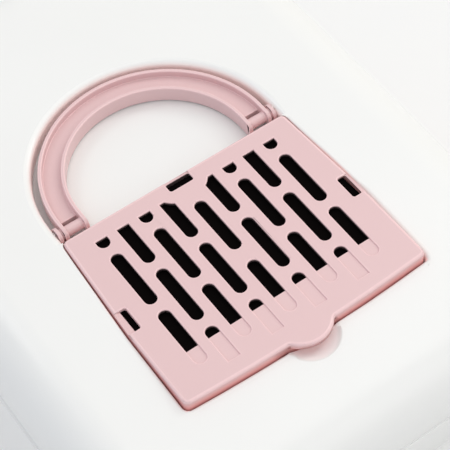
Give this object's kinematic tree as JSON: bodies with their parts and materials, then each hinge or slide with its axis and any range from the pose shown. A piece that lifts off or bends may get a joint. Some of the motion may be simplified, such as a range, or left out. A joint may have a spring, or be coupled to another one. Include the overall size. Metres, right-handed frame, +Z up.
{
  "type": "hooded litter box",
  "caption": "Hooded cat litter box: arched hood on a tray, slotted vent cover over a filter pad, folding carry handle, swinging door flap and side clips.",
  "frame": {"origin": "on the floor under the middle of the tray", "axes": "+Z up, -Y out of the doorway, +X to the right of someone who faces the doorway"},
  "size_m": [0.4072, 0.49, 0.401],
  "materials": {
    "hood_white": "white moulded plastic with a fine satin grain",
    "tray_pink": "pink moulded plastic with a fine satin grain",
    "trim_pink": "pink moulded plastic, smooth satin",
    "filter_black": "black open-cell carbon foam",
    "flap_frosted": "frosted see-through plastic"
  },
  "bodies": {
    "box": {"base_tray": "tray_pink", "hood": "hood_white"},
    "cover": {"vent_cover": "trim_pink", "carbon_filter": "filter_black"},
    "handle": {"carry_handle": "trim_pink"},
    "flap": {"door_flap": "flap_frosted"},
    "clip_front_left": {"side_clip_front_left": "trim_pink"},
    "clip_front_right": {"side_clip_front_right": "trim_pink"},
    "clip_rear_left": {"side_clip_rear_left": "trim_pink"},
    "clip_rear_right": {"side_clip_rear_right": "trim_pink"}
  },
  "joints": [
    {"name": "handle_swing", "type": "hinge", "parent": "box", "child": "handle", "pos_m": [0, 0.0059, 0.3945], "axis": [1, 0, 0], "range_deg": [0, 90]},
    {"name": "cover_lift", "type": "slide", "parent": "box", "child": "cover", "axis": [0, 0, 1], "range_m": [0, 0.04]},
    {"name": "flap_swing", "type": "hinge", "parent": "box", "child": "flap", "pos_m": [0, -0.214, 0.298], "axis": [1, 0, 0], "range_deg": [-80, 80]},
    {"name": "clip_front_left_swing", "type": "hinge", "parent": "box", "child": "clip_front_left", "pos_m": [-0.1945, -0.11, 0.1314], "axis": [0, 1, 0], "range_deg": [0, 100]},
    {"name": "clip_front_right_swing", "type": "hinge", "parent": "box", "child": "clip_front_right", "pos_m": [0.1945, -0.11, 0.1314], "axis": [0, -1, 0], "range_deg": [0, 100]},
    {"name": "clip_rear_left_swing", "type": "hinge", "parent": "box", "child": "clip_rear_left", "pos_m": [-0.1945, 0.11, 0.1314], "axis": [0, 1, 0], "range_deg": [0, 100]},
    {"name": "clip_rear_right_swing", "type": "hinge", "parent": "box", "child": "clip_rear_right", "pos_m": [0.1945, 0.11, 0.1314], "axis": [0, -1, 0], "range_deg": [0, 100]}
  ]
}
